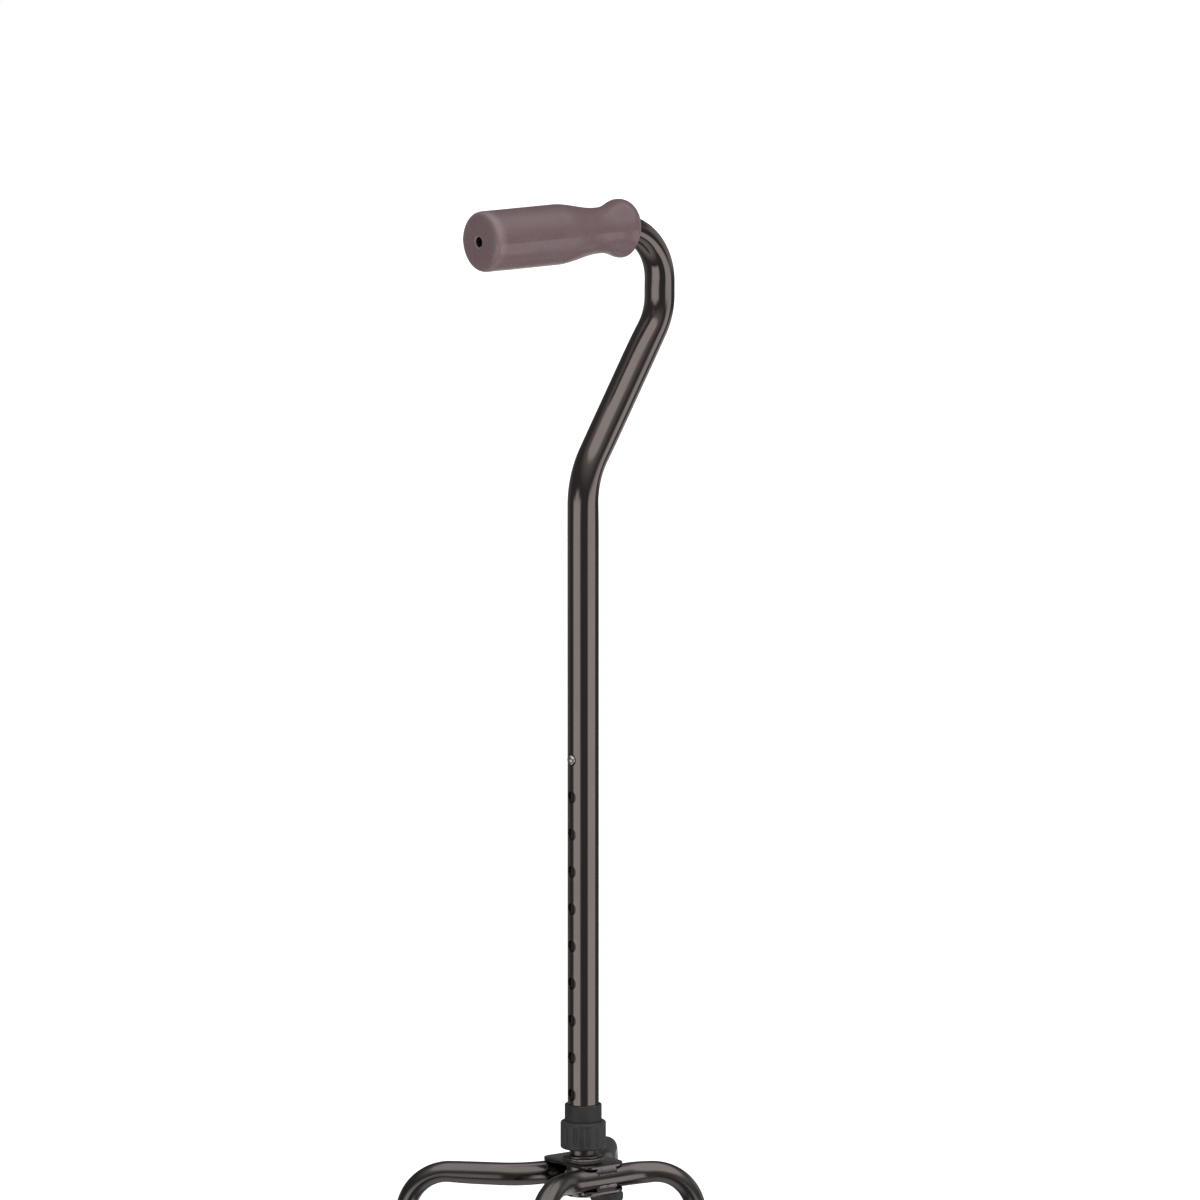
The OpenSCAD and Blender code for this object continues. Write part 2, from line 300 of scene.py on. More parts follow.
def tube_rings(shell, rail, distances, outer_r, wall, sides, edge):
    """Rings of a hollow tube's outside and inside, whose end rings leave room for rounded rims."""
    angles = [TURN * i / sides for i in range(sides)]
    outside = []
    inside = []
    last = len(distances) - 1
    for i, distance in enumerate(distances):
        inset = edge if i in (0, last) else 0.0
        outside.append(shell.loop(*rail.ring(distance, outer_r - inset, outer_r, angles)))
        inside.append(shell.loop(*rail.ring(distance, outer_r - wall + inset, outer_r, angles)))
    return outside, inside


def with_rims(distances, edge):
    """Adds a row just inside each end, so that the rim's edges are rounded off."""
    return [distances[0], distances[0] + edge] + distances[1:-1] + [distances[-1] - edge, distances[-1]]


def bent_tube(shell, rail, outer_r, wall, sides, straight_step, bend_step, edge):
    distances = with_rims(rail.rows(straight_step, bend_step), edge)
    outside, inside = tube_rings(shell, rail, distances, outer_r, wall, sides, edge)
    shell.skin(outside)
    shell.skin(inside)
    shell.bridge(outside[0], inside[0])
    shell.bridge(outside[-1], inside[-1])


# ---- Procedural materials ----

class Look:
    """One procedural material, with short calls that add to its node tree."""

    def __init__(self, name, fixed):
        self.material = bpy.data.materials.new(name)
        self.material.use_nodes = True
        self.tree = self.material.node_tree
        self.shader = self.tree.nodes["Principled BSDF"]
        for socket, value in fixed.items():
            self.shader.inputs[socket].default_value = value

    def add(self, kind, inputs, **settings):
        node = self.tree.nodes.new("ShaderNode" + kind)
        for key, value in settings.items():
            setattr(node, key, value)
        for key, value in inputs.items():
            if isinstance(value, bpy.types.NodeSocket):
                self.tree.links.new(value, node.inputs[key])
            else:
                node.inputs[key].default_value = value
        return node

    def place(self, scale=(1, 1, 1)):
        """Where a point lies, stretched by scale, which draws a texture out along an axis."""
        source = self.add("Attribute", {}, attribute_name="place").outputs["Vector"]
        return self.add("Mapping", {"Vector": source, "Scale": scale}).outputs[0]

    def spot(self, scale=(1, 1, 1)):
        """The same from the object's own coordinates, for a CAD node."""
        source = self.add("TexCoord", {}).outputs["Object"]
        return self.add("Mapping", {"Vector": source, "Scale": scale}).outputs[0]

    def noise(self, vector, size, detail=3.0, roughness=0.55, warp=0.0):
        """Noise from 0 to 1 whose features are about size across."""
        inputs = {"Vector": vector, "Scale": 0.5 / size, "Detail": detail,
                  "Roughness": roughness, "Distortion": warp}
        return self.add("TexNoise", inputs).outputs["Fac"]

    def remap(self, value, low, high, to_low=0.0, to_high=1.0, kind="SMOOTHSTEP"):
        inputs = {"Value": value, "From Min": low, "From Max": high,
                  "To Min": to_low, "To Max": to_high}
        return self.add("MapRange", inputs, interpolation_type=kind).outputs[0]

    def math(self, operation, a, b=0.0):
        return self.add("Math", {0: a, 1: b}, operation=operation).outputs[0]

    def mix(self, factor, a, b):
        colours = {"Factor": factor, 6: self.colour(a), 7: self.colour(b)}
        return self.add("Mix", colours, data_type="RGBA").outputs[2]

    @staticmethod
    def colour(value):
        return value if isinstance(value, bpy.types.NodeSocket) else (*value, 1.0)

    def worn_edges(self, low=0.53, high=0.62):
        """1 on convex edges and 0 elsewhere."""
        return self.remap(self.add("NewGeometry", {}).outputs["Pointiness"], low, high)

    def darker_in_hollows(self, low=0.40, high=0.49):
        """1 in hollows and 0 elsewhere."""
        return self.remap(self.add("NewGeometry", {}).outputs["Pointiness"], low, high, 1.0, 0.0)

    def height_above_floor(self):
        position = self.add("TexCoord", {}).outputs["Object"]
        return self.add("SeparateXYZ", {0: position}).outputs["Z"]

    def bump(self, height, depth, normal=None):
        """Raises the surface by depth where height is 1, on top of an earlier bump."""
        inputs = {"Height": height, "Distance": depth, "Strength": 1.0}
        if normal is not None:
            inputs["Normal"] = normal
        return self.add("Bump", inputs).outputs[0]

    def finish(self, colour=None, roughness=None, normal=None, metallic=None):
        links = {"Base Color": colour, "Roughness": roughness, "Normal": normal, "Metallic": metallic}
        for socket, value in links.items():
            if value is not None:
                self.tree.links.new(value, self.shader.inputs[socket])
        return self.material


def scratches(look, vector, size, amount):
    """Thin lines, from 0 to 1, where a stretched noise crosses its middle value."""
    line = look.math("ABSOLUTE", look.math("SUBTRACT", look.noise(vector, size, 2.0), 0.5))
    thin = look.remap(line, 0.0, 0.006, 1.0, 0.0)
    patch = look.remap(look.noise(vector, 7 * size, 2.0), 0.62 - amount, 0.72 - amount)
    return look.math("MULTIPLY", thin, patch)


def anodised_bronze(name, dark, light, roughness, bare, wear):
    """Dark bronze tube metal with fine drawn lines, handling marks and bare edges."""
    look = Look(name, {"Metallic": 1.0, "Specular IOR Level": 0.5})
    drawn = look.noise(look.place((1, 1, 0.012)), 0.35 * MM, 2.0)
    tint = look.remap(look.noise(look.place((1, 1, 0.25)), 14 * MM, 3.0), 0.3, 0.7)
    smudge = look.remap(look.noise(look.place(), 22 * MM, 5.0, 0.62, 0.4), 0.42, 0.68)
    pores = look.noise(look.place(), 0.22 * MM, 2.0)
    along = scratches(look, look.place((1, 1, 0.06)), 2.6 * MM, wear)
    across = scratches(look, look.place((0.25, 0.25, 1)), 1.9 * MM, wear - 0.04)
    marks = look.math("MAXIMUM", along, across)
    worn = look.remap(look.noise(look.place(), 1.6 * MM), 0.3, 0.6)
    edges = look.math("MULTIPLY", look.worn_edges(), worn)
    colour = look.mix(tint, dark, light)
    colour = look.mix(look.math("MULTIPLY", marks, 0.35), colour, bare)
    colour = look.mix(look.math("MULTIPLY", edges, 0.6), colour, bare)
    rough = look.remap(smudge, 0.0, 1.0, roughness, roughness * 1.7, "LINEAR")
    rough = look.math("ADD", rough, look.math("MULTIPLY", drawn, roughness * 0.35))
    rough = look.math("ADD", rough, look.math("MULTIPLY", marks, 0.16))
    rough = look.math("ADD", rough, look.math("MULTIPLY", edges, 0.10))
    normal = look.bump(drawn, 0.0012 * MM)
    normal = look.bump(pores, 0.0006 * MM, normal)
    normal = look.bump(look.math("SUBTRACT", 1.0, marks), 0.004 * MM, normal)
    return look.finish(colour, rough, normal)


def outer_end_painted_light(look, colour):
    """Paints a highlight on the grip's rounded outer end, stronger towards the top, paints a highlight
    on the vent's rim, and paints shade inside the vent.
    """
    place = look.add("SeparateXYZ", {0: look.place()}).outputs
    # Painted highlight: a pale ring on the rounding between the outer end and the side, stronger
    # towards the top where the light falls
    inner = look.remap(place["Y"], GRIP_FRONT_Y + 0.3 * MM, GRIP_FRONT_Y + 2.6 * MM)
    outer = look.remap(place["Y"], GRIP_FRONT_Y + 4 * MM, GRIP_FRONT_Y + 11 * MM, 1.0, 0.0)
    upper = look.remap(place["Z"], HANDLE_Z - 16 * MM, HANDLE_Z + 5 * MM, 0.15, 0.68)
    painted_highlight = look.math("MULTIPLY", look.math("MULTIPLY", inner, outer), upper)
    # Pale colour of the painted highlight on the outer end
    colour = look.mix(painted_highlight, colour, (0.235, 0.168, 0.175))
    axis = {0: look.place((1, 0, 1)), 1: (STEM_X, 0, HANDLE_Z)}
    from_axis = look.add("VectorMath", axis, operation="DISTANCE").outputs["Value"]
    # Painted highlight: a pale ring on the vent's rim
    rim = look.remap(from_axis, VENT_R + 0.9 * MM, VENT_R + 1.4 * MM, 0.5, 0.0)
    colour = look.mix(rim, colour, (0.25, 0.185, 0.19))
    # Painted shade: the inside of the vent coloured near black
    vent = look.remap(from_axis, VENT_R, VENT_R + 0.3 * MM, 1.0, 0.0)
    return look.mix(vent, colour, (0.012, 0.009, 0.009))


def grip_vinyl():
    """Mauve moulded vinyl: soft sheen, fine grain, flow marks, and darkening in its hollows."""
    look = Look("grip_vinyl", {"Specular IOR Level": 0.5, "IOR": 1.5})
    base = (0.144, 0.0945, 0.100)
    cloud = look.remap(look.noise(look.place((1, 0.5, 1)), 11 * MM, 4.0, 0.6, 0.6), 0.3, 0.7)
    speck = look.remap(look.noise(look.place(), 1.1 * MM, 4.0, 0.7), 0.35, 0.65)
    grain = look.noise(look.place(), 0.28 * MM, 3.0, 0.6)
    ripple = look.noise(look.place((1, 0.35, 1)), 3.4 * MM, 3.0)
    colour = look.mix(cloud, (base[0] * 0.93, base[1] * 0.92, base[2] * 0.93), base)
    colour = look.mix(look.math("MULTIPLY", speck, 0.05), colour, (0.165, 0.114, 0.118))
    # Darker in the hollows
    colour = look.mix(look.math("MULTIPLY", look.darker_in_hollows(), 0.15), colour, (0.10, 0.07, 0.07))
    # Painted highlight on the outer end and the vent's rim, and painted shade inside the vent
    colour = outer_end_painted_light(look, colour)
    sheen = look.noise(look.place((1, 0.6, 1)), 8 * MM, 4.0, 0.6, 0.8)
    shine = look.remap(sheen, 0.32, 0.68, 0.17, 0.33)
    rough = look.math("ADD", shine, look.math("MULTIPLY", speck, 0.04))
    normal = look.bump(grain, 0.004 * MM)
    normal = look.bump(ripple, 0.05 * MM, normal)
    return look.finish(colour, rough, normal)


def moulded_nylon(name, base, roughness):
    """Black moulded nylon with an eroded-mould texture and edges rubbed grey."""
    look = Look(name, {"Specular IOR Level": 0.45})
    grain = look.noise(look.place(), 0.35 * MM, 4.0, 0.6)
    cloud = look.remap(look.noise(look.place(), 6 * MM, 4.0), 0.3, 0.7)
    worn = look.remap(look.noise(look.place(), 1.2 * MM), 0.3, 0.65)
    edges = look.math("MULTIPLY", look.worn_edges(), worn)
    colour = look.mix(cloud, (base * 0.8,) * 3, (base * 1.15,) * 3)
    colour = look.mix(look.math("MULTIPLY", edges, 0.5), colour, (0.10, 0.10, 0.10))
    rough = look.remap(cloud, 0.0, 1.0, roughness, roughness + 0.10, "LINEAR")
    rough = look.math("ADD", rough, look.math("MULTIPLY", grain, 0.08))
    return look.finish(colour, rough, look.bump(grain, 0.02 * MM))


def tip_rubber():
    """Black rubber with a dull bloom, fine pitting and pale dust that it picks up near the floor."""
    look = Look("tip_rubber", {"Specular IOR Level": 0.35})
    pits = look.noise(look.place(), 0.5 * MM, 4.0, 0.65)
    bloom = look.remap(look.noise(look.place(), 7 * MM, 5.0, 0.6, 0.5), 0.35, 0.7)
    low = look.remap(look.height_above_floor(), 1 * MM, 14 * MM, 1.0, 0.0)
    patch = look.remap(look.noise(look.place((1, 1, 2.5)), 2.4 * MM, 5.0, 0.68), 0.44, 0.66)
    dust = look.math("MULTIPLY", low, patch)
    colour = look.mix(bloom, (0.018, 0.018, 0.019), (0.034, 0.033, 0.032))
    colour = look.mix(look.math("MULTIPLY", dust, 0.55), colour, (0.17, 0.155, 0.135))
    edges = look.math("MULTIPLY", look.worn_edges(0.54, 0.66), 0.25)
    colour = look.mix(edges, colour, (0.09, 0.088, 0.085))
    rough = look.remap(bloom, 0.0, 1.0, 0.58, 0.74, "LINEAR")
    rough = look.math("ADD", rough, look.math("MULTIPLY", dust, 0.18))
    return look.finish(colour, rough, look.bump(pits, 0.04 * MM))


def bright_steel(name, base, roughness, turned):
    """Steel with fine tool lines, tiny dents and a little staining."""
    look = Look(name, {"Metallic": 1.0})
    lines = look.noise(look.spot(turned), 0.12 * MM, 2.0)
    stain = look.remap(look.noise(look.spot(), 1.7 * MM, 5.0, 0.6, 0.4), 0.45, 0.7)
    dents = look.noise(look.spot(), 0.6 * MM, 2.0)
    colour = look.mix(stain, base, tuple(c * 0.72 for c in base))
    rough = look.remap(stain, 0.0, 1.0, roughness, roughness + 0.14, "LINEAR")
    rough = look.math("ADD", rough, look.math("MULTIPLY", lines, 0.06))
    normal = look.bump(lines, 0.002 * MM)
    return look.finish(colour, rough, look.bump(dents, 0.008 * MM, normal))


bronze = anodised_bronze(
    "bronze_tube", dark=(0.190, 0.163, 0.154), light=(0.205, 0.176, 0.167),
    roughness=0.085, bare=(0.46, 0.44, 0.42), wear=0.02,
)
base_bronze = anodised_bronze(
    "base_steel", dark=(0.150, 0.133, 0.127), light=(0.190, 0.168, 0.160),
    roughness=0.15, bare=(0.42, 0.40, 0.38), wear=0.05,
)
stem_bronze = anodised_bronze(
    "stem_metal", dark=(0.110, 0.098, 0.094), light=(0.150, 0.134, 0.128),
    roughness=0.17, bare=(0.40, 0.38, 0.36), wear=0.12,
)
vinyl = grip_vinyl()
nylon = moulded_nylon("black_nylon", 0.022, 0.42)
ring_plastic = moulded_nylon("ring_plastic", 0.028, 0.36)
rubber = tip_rubber()
button_steel = bright_steel("button_steel", (0.58, 0.56, 0.53), 0.17, (1, 0.05, 1))
spring_steel = bright_steel("spring_steel", (0.40, 0.39, 0.38), 0.26, (1, 0.3, 0.06))


# ---- Upper tube ----

# A hole replaces a block of the tube's cells; its lip is (beyond the hole, below the surface) in mm
TUBE_SIDES = 72
HOLE_COLUMNS = 14
HOLE_ROWS = 14
HOLE_REACH = 6.3 * MM
HOLE_LIP = [(0.55, 0.0), (0.30, 0.03), (0.12, 0.12), (0.03, 0.28), (0.0, 0.5)]


def hole_rows(centre, bottom):
    """Distances of the rows that frame one drilled hole, from the tube's lower end."""
    start = centre - bottom - HOLE_REACH
    return [start + 2 * HOLE_REACH * i / HOLE_ROWS for i in range(HOLE_ROWS + 1)]


def frame_of(rings, row, column, sides):
    """The points round a block of cells that a hole replaces, from its lower left corner."""
    top = row + HOLE_ROWS
    far = column + HOLE_COLUMNS
    around = [rings[row][(column + i) % sides] for i in range(HOLE_COLUMNS)]
    around += [rings[row + j][far % sides] for j in range(HOLE_ROWS)]
    around += [rings[top][(far - i) % sides] for i in range(HOLE_COLUMNS)]
    around += [rings[top - j][column % sides] for j in range(HOLE_ROWS)]
    return around


def circle(radius):
    """As many points round a circle as frame_of finds round its block, from the lower left."""
    count = 2 * (HOLE_COLUMNS + HOLE_ROWS)
    angles = [TURN * (k / count - 3 / 8) for k in range(count)]
    return [(radius * cos(a), radius * sin(a)) for a in angles]


def blend(border, target, share):
    """Points a share of the way from a border to its target."""
    return [
        (u0 * (1 - share) + u1 * share, v0 * (1 - share) + v1 * share)
        for (u0, v0), (u1, v1) in zip(border, target)
    ]


def drill(shell, outside, inside, row, facing, centre_z, hole_r, outer_r, wall):
    """Joins the outside to the inside of an upright tube through one hole with a soft lip."""
    column = round(facing / TURN * len(outside[0])) - HOLE_COLUMNS // 2

    def flat(loop):
        found = []
        for x, y, z in (shell.points[i] for i in loop):
            found.append(((x - STEM_X) * -sin(facing) + y * cos(facing), z - centre_z))
        return found

    def ring(points, surface_r):
        found = []
        for u, v in points:
            angle = facing + asin(u / surface_r)
            found.append((STEM_X + surface_r * cos(angle), surface_r * sin(angle), centre_z + v))
        places = [(x - STEM_X, y, z) for x, y, z in found]
        return shell.loop(found, places)

    outer_border = frame_of(outside, row, column, len(outside[0]))
    inner_border = frame_of(inside, row, column, len(inside[0]))
    inner_r = outer_r - wall
    front = circle(hole_r + HOLE_LIP[0][0] * MM)
    back = circle(hole_r + 0.1 * MM)
    loops = [outer_border]
    loops += [ring(blend(flat(outer_border), front, share), outer_r) for share in (0.35, 0.68, 0.88)]
    loops += [ring(circle(hole_r + more * MM), outer_r - deep * MM) for more, deep in HOLE_LIP]
    loops += [ring(circle(hole_r), inner_r + 0.1 * MM), ring(back, inner_r)]
    loops += [ring(blend(flat(inner_border), back, share), inner_r) for share in (0.7, 0.35)]
    shell.skin(loops + [inner_border])
    return {(column + i) % len(outside[0]) for i in range(HOLE_COLUMNS)}


def drilled_tube(shell, rail, distances, outer_r, wall, bottom, holes, edge):
    """A hollow tube whose holes are (height, direction they face, radius)."""
    outside, inside = tube_rings(shell, rail, distances, outer_r, wall, TUBE_SIDES, edge)
    gaps = {}
    for centre_z, facing, hole_r in holes:
        wanted = hole_rows(centre_z, bottom)[0]
        row = min(range(len(distances)), key=lambda i: abs(distances[i] - wanted))
        columns = drill(shell, outside, inside, row, facing, centre_z, hole_r, outer_r, wall)
        for j in range(HOLE_ROWS):
            gaps.setdefault(row + j, set()).update(columns)
    for j in range(len(distances) - 1):
        shell.bridge(outside[j], outside[j + 1], gaps.get(j, ()))
        shell.bridge(inside[j], inside[j + 1], gaps.get(j, ()))
    shell.bridge(outside[0], inside[0])
    shell.bridge(outside[-1], inside[-1])


def merged(fixed, loose, gap):
    """Rows that must be there, with the other rows that stay clear of them."""
    kept = [d for d in loose if all(abs(d - f) > gap for f in fixed)]
    return sorted(fixed + kept)


def upper_rail():
    slant = (OFFSET_Y - (LOWER_BEND_R + REAR_BEND_R) * (1 - cos(OFFSET_ANGLE))) / sin(OFFSET_ANGLE)
    rise = (LOWER_BEND_R + REAR_BEND_R) * sin(OFFSET_ANGLE) + slant * cos(OFFSET_ANGLE)
    shaft = HANDLE_Z - TOP_BEND_R - UPRIGHT_RUN - rise - TUBE_END_Z
    handle = OFFSET_Y - TOP_BEND_R - TUBE_FRONT_Y
    steps = [
        (shaft, LOWER_BEND_R, OFFSET_ANGLE, pi / 2),
        (slant, REAR_BEND_R, OFFSET_ANGLE, pi),
        (UPRIGHT_RUN, TOP_BEND_R, pi / 2, 0.0),
        (handle, 0.0, 0.0, 0.0),
    ]
    return Rail((STEM_X, 0, TUBE_END_Z), steps), handle


FRONT = 1.5 * pi
REAR = 0.5 * pi
tube_rail, handle_run = upper_rail()


def build_upper_tube():
    edge = 0.3 * MM
    heights = [BUTTON_Z - i * HOLE_PITCH for i in range(HOLE_COUNT)]
    framing = [d for z in heights for d in hole_rows(z, TUBE_END_Z)]
    loose = with_rims(tube_rail.rows(6 * MM, 1.6 * MM), edge)
    shell = Shell()
    holes = [(z, facing, HOLE_R) for z in heights for facing in (FRONT, REAR)]
    rows = merged(framing, loose, 1.5 * MM)
    drilled_tube(shell, tube_rail, rows, TUBE_R, TUBE_WALL, TUBE_END_Z, holes, edge)
    make_piece(shell, "cane_upper_tube", "upper", ["upper_tube"], bronze)


build_upper_tube()


# ---- Grip ----

PALM_END = 67.5 * MM
WAIST_AT = 103.4 * MM
HEEL_AT = 123.6 * MM
WAIST_R = 16 * MM
HEEL_R = 20.5 * MM
END_DEPTH = 7.3 * MM
END_WALL = 6 * MM
# Where the rounded outer end has its rings, from the middle at 0 to the rim at 1
END_SHARES = (
    0.012, 0.03, 0.05, 0.08, 0.13, 0.19, 0.26, 0.34, 0.42,
    0.5, 0.58, 0.66, 0.74, 0.81, 0.87, 0.92, 0.96, 0.99,
)
# The mouth's lip on the tube: (beyond the tube, back towards the outer end) in mm
MOUTH_LIP = [(0.62, -0.22), (0.3, -0.3), (0.12, -0.15), (0.12, 0.6)]
VENT_RIM_R = 4.4 * MM
VENT_CHAMFER = 0.7 * MM
MOUTH_LEAN = radians(15.5)
MOUTH_WALL = 0.9 * MM


def end_place(share):
    """(distance from the outer end, radius) a share of the way from the end's middle to its rim."""
    turn = share * pi / 2
    return END_DEPTH * (1 - cos(turn) ** 0.5), GRIP_R * sin(turn) ** 0.385


def grip_radius(s):
    """The grip's radius between its rounded end and its heel, before moulding marks."""
    if s < PALM_END:
        return GRIP_R
    if s < WAIST_AT:
        t = (s - PALM_END) / (WAIST_AT - PALM_END)
        return GRIP_R + (WAIST_R - GRIP_R) * (0.24 * sin(pi * t / 2) ** 1.25 + 0.76 * smooth(t))
    t = (s - WAIST_AT) / (HEEL_AT - WAIST_AT)
    return WAIST_R + (HEEL_R - WAIST_R) * smooth(t ** 1.57)


def grip_angles():
    """Columns round the grip, close together at the two mould lines."""
    even = [radians(3.75) * i for i in range(96)]
    close = [m + radians(d) for m in (0, pi) for d in (-2.6, -1.7, -1.0, -0.5, 0.5, 1.0, 1.7, 2.6)]
    return sorted(set(round(a % TURN, 6) for a in even + close))


def moulding_marks(s, angle, radius):
    """How far the surface stands proud: a crest and a thin flash line at the mould's parting."""
    across = abs(radius * sin(angle))
    arc = min(angle % pi, pi - angle % pi)
    crest = 0.34 * MM * exp(-arc / radians(15)) * clamp(radius / GRIP_R) ** 2
    flash = 0.09 * MM * exp(-((across / (0.28 * MM)) ** 2))
    wave_at = Vector((cos(angle) * radius, s * 0.55, sin(angle) * radius)) / (17 * MM)
    return crest + flash + 0.10 * MM * noise.noise(wave_at)


def grip_ring(s, radius, angles, marks=1.0):
    """The points of one upright ring of the grip."""
    points = []
    for angle in angles:
        r = radius + marks * moulding_marks(s, angle, radius)
        points.append(Vector((STEM_X + r * cos(angle), GRIP_FRONT_Y + s, HANDLE_Z + r * sin(angle))))
    return points


def outer_profile():
    """(distance from the outer end, radius) from the vent's rim to the heel."""
    found = [(VENT_CHAMFER, VENT_R), (VENT_CHAMFER * 0.35, VENT_R + 0.35 * MM)]
    found.append((0.02 * MM, VENT_RIM_R))
    found += [end_place(share) for share in END_SHARES]
    station = END_DEPTH
    while station < HEEL_AT - 0.8 * MM:
        found.append((station, grip_radius(station)))
        station += 2.9 * MM if station < PALM_END - 5 * MM else 1.1 * MM
    return found + [(HEEL_AT, HEEL_R)]


def mouth_ring(radius, angles, lean):
    """The points of a ring round the tube's top bend, where the bend has turned by lean."""
    distance = tube_rail.length - handle_run - TOP_BEND_R * lean
    return tube_rail.ring(distance, radius, TUBE_R, angles)[0]


def heel_rings(heel, mouth):
    """Rings of the dome that closes from the heel onto the tube."""
    rings = []
    steps = 16
    for k in range(1, steps):
        turn = pi / 2 * k / steps
        ring = []
        for h, m in zip(heel, mouth):
            corner = Vector((m.x, h.y, m.z))
            ring.append(corner + (h - corner) * cos(turn) + (m - corner) * sin(turn) ** 0.83)
        rings.append(ring)
    return rings


def build_grip():
    angles = grip_angles()
    outline = outer_profile()
    rings = [grip_ring(s, r, angles, 0.0 if r < VENT_RIM_R else 1.0) for s, r in outline]
    bore_r = TUBE_R + 0.12 * MM
    rim = mouth_ring(TUBE_R + MOUTH_WALL, angles, MOUTH_LEAN)
    rings += heel_rings(rings[-1], rim) + [rim]
    for more, back in MOUTH_LIP:
        rings.append(mouth_ring(TUBE_R + more * MM, angles, MOUTH_LEAN - back * MM / TOP_BEND_R))
    rings += [mouth_ring(bore_r, angles, MOUTH_LEAN * share) for share in (0.7, 0.35, 0.0)]
    rings.append(grip_ring(END_WALL, bore_r, angles, 0.0))
    rings.append(grip_ring(END_WALL, VENT_R, angles, 0.0))
    shell = Shell()
    shell.skin([shell.loop(ring) for ring in rings], closed=True)
    make_piece(shell, "cane_grip", "upper", ["grip"], vinyl, 40)


build_grip()


# ---- Snap button ----

def build_button():
    shank_r = half_width("snap_button")
    stud_r = 1.5 * MM
    head_r = 2.6 * MM
    head = 0.5 * MM
    strip = 0.6 * MM
    dome = 1.6 * MM
    dome_r = (shank_r ** 2 + dome ** 2) / (2 * dome)
    profile = [(0.15 * MM, BUTTON_BACK), (head_r - 0.15 * MM, BUTTON_BACK)]
    profile += [(head_r, BUTTON_BACK + 0.15 * MM), (head_r, BUTTON_BACK + head)]
    profile += [(stud_r, BUTTON_BACK + head), (stud_r, BUTTON_BACK + head + strip)]
    shoulder = BUTTON_BACK + head + strip
    profile += [(shank_r - 0.2 * MM, shoulder), (shank_r, shoulder + 0.2 * MM)]
    for i in range(13):
        r = shank_r * cos(pi / 2 * i / 13)
        corner = 0.25 * MM * (r / shank_r) ** 8
        profile.append((r, BUTTON_FRONT - dome_r + sqrt(dome_r ** 2 - r ** 2) - corner))
    shell = Shell()
    revolve(shell, profile, Vector((0, 0, 0)), 48, closed=False)
    turn_points(shell, Matrix.Translation((STEM_X, 0, BUTTON_Z)) @ Matrix.Rotation(pi / 2, 4, "X"))
    make_piece(shell, "button", "button", ["snap_button"], button_steel)


build_button()


# ---- Collet and locking ring ----

def build_collet():
    nose = 3 * MM
    bore_r = STEM_R + 0.05 * MM
    socket_r = TUBE_R + 0.05 * MM
    corners = [
        (bore_r, COLLET_BOTTOM_Z, 0.2 * MM),
        (COLLET_R - 1.4 * MM, COLLET_BOTTOM_Z, 0.4 * MM),
        (COLLET_R, COLLET_BOTTOM_Z + nose, 1.2 * MM),
        (COLLET_R, COLLET_TOP_Z, 0.7 * MM),
        (socket_r, COLLET_TOP_Z, 0.35 * MM),
        (socket_r, TUBE_END_Z, 0),
        (bore_r, TUBE_END_Z, 0),
    ]
    shell = Shell()
    revolve(shell, rounded(corners), Vector((STEM_X, 0, 0)))
    make_piece(shell, "collet", "collet", ["collet_bush"], nylon)


def build_ring():
    flutes = 12
    flute_depth = 1.0 * MM
    ring_r = half_width("lock_ring") + 0.1 * MM
    bore_r = COLLET_R + 0.05 * MM
    throat_r = STEM_R + 0.4 * MM
    lip = 1.9 * MM
    height = RING_TOP_Z - RING_BOTTOM_Z
    band = 3.2 * MM

    def fluted(angle, radius, z):
        rise = z - RING_BOTTOM_Z
        into = smooth((rise - band / 2) / band) * smooth((height - band / 2 - rise) / band)
        groove = max(0.0, cos(flutes * angle)) ** 1.5
        outward = smooth((radius - bore_r - 1 * MM) / (1 * MM))
        return radius - flute_depth * groove * into * outward

    corners = [
        (throat_r, RING_BOTTOM_Z, 0.3 * MM),
        (ring_r, RING_BOTTOM_Z, 1.6 * MM),
        (ring_r, RING_TOP_Z, 1.6 * MM),
        (bore_r, RING_TOP_Z, 0.3 * MM),
        (bore_r, RING_BOTTOM_Z + lip, 0),
        (throat_r, RING_BOTTOM_Z + lip, 0),
    ]
    profile = rounded(corners, 6)
    wall = [i for i, p in enumerate(profile) if abs(p.x - ring_r) < 1e-6]
    low, high = profile[wall[0]], profile[wall[-1]]
    rows = 22
    between = [low.lerp(high, i / rows) for i in range(1, rows)]
    start = wall[[i for i, w in enumerate(wall) if profile[w].y > RING_BOTTOM_Z + height / 2][0]]
    profile = profile[:start] + between + profile[start:]
    shell = Shell()
    revolve(shell, profile, Vector((STEM_X, 0, 0)), 12 * flutes, shape=fluted)
    make_piece(shell, "locking_ring", "ring", ["lock_ring"], ring_plastic, 45)


build_collet()
build_ring()


# ---- Stem ----

def build_stem():
    edge = 0.25 * MM
    rail = Rail((STEM_X, 0, STEM_BOTTOM_Z), [(STEM_TOP_Z - STEM_BOTTOM_Z, 0.0, 0.0, 0.0)])
    loose = with_rims(rail.rows(8 * MM, 8 * MM), edge)
    rows = merged(hole_rows(BUTTON_Z, STEM_BOTTOM_Z), loose, 1.5 * MM)
    shell = Shell()
    holes = [(BUTTON_Z, FRONT, STEM_HOLE_R)]
    drilled_tube(shell, rail, rows, STEM_R, STEM_WALL, STEM_BOTTOM_Z, holes, edge)
    make_piece(shell, "stem", "base", ["stem_tube"], stem_bronze)


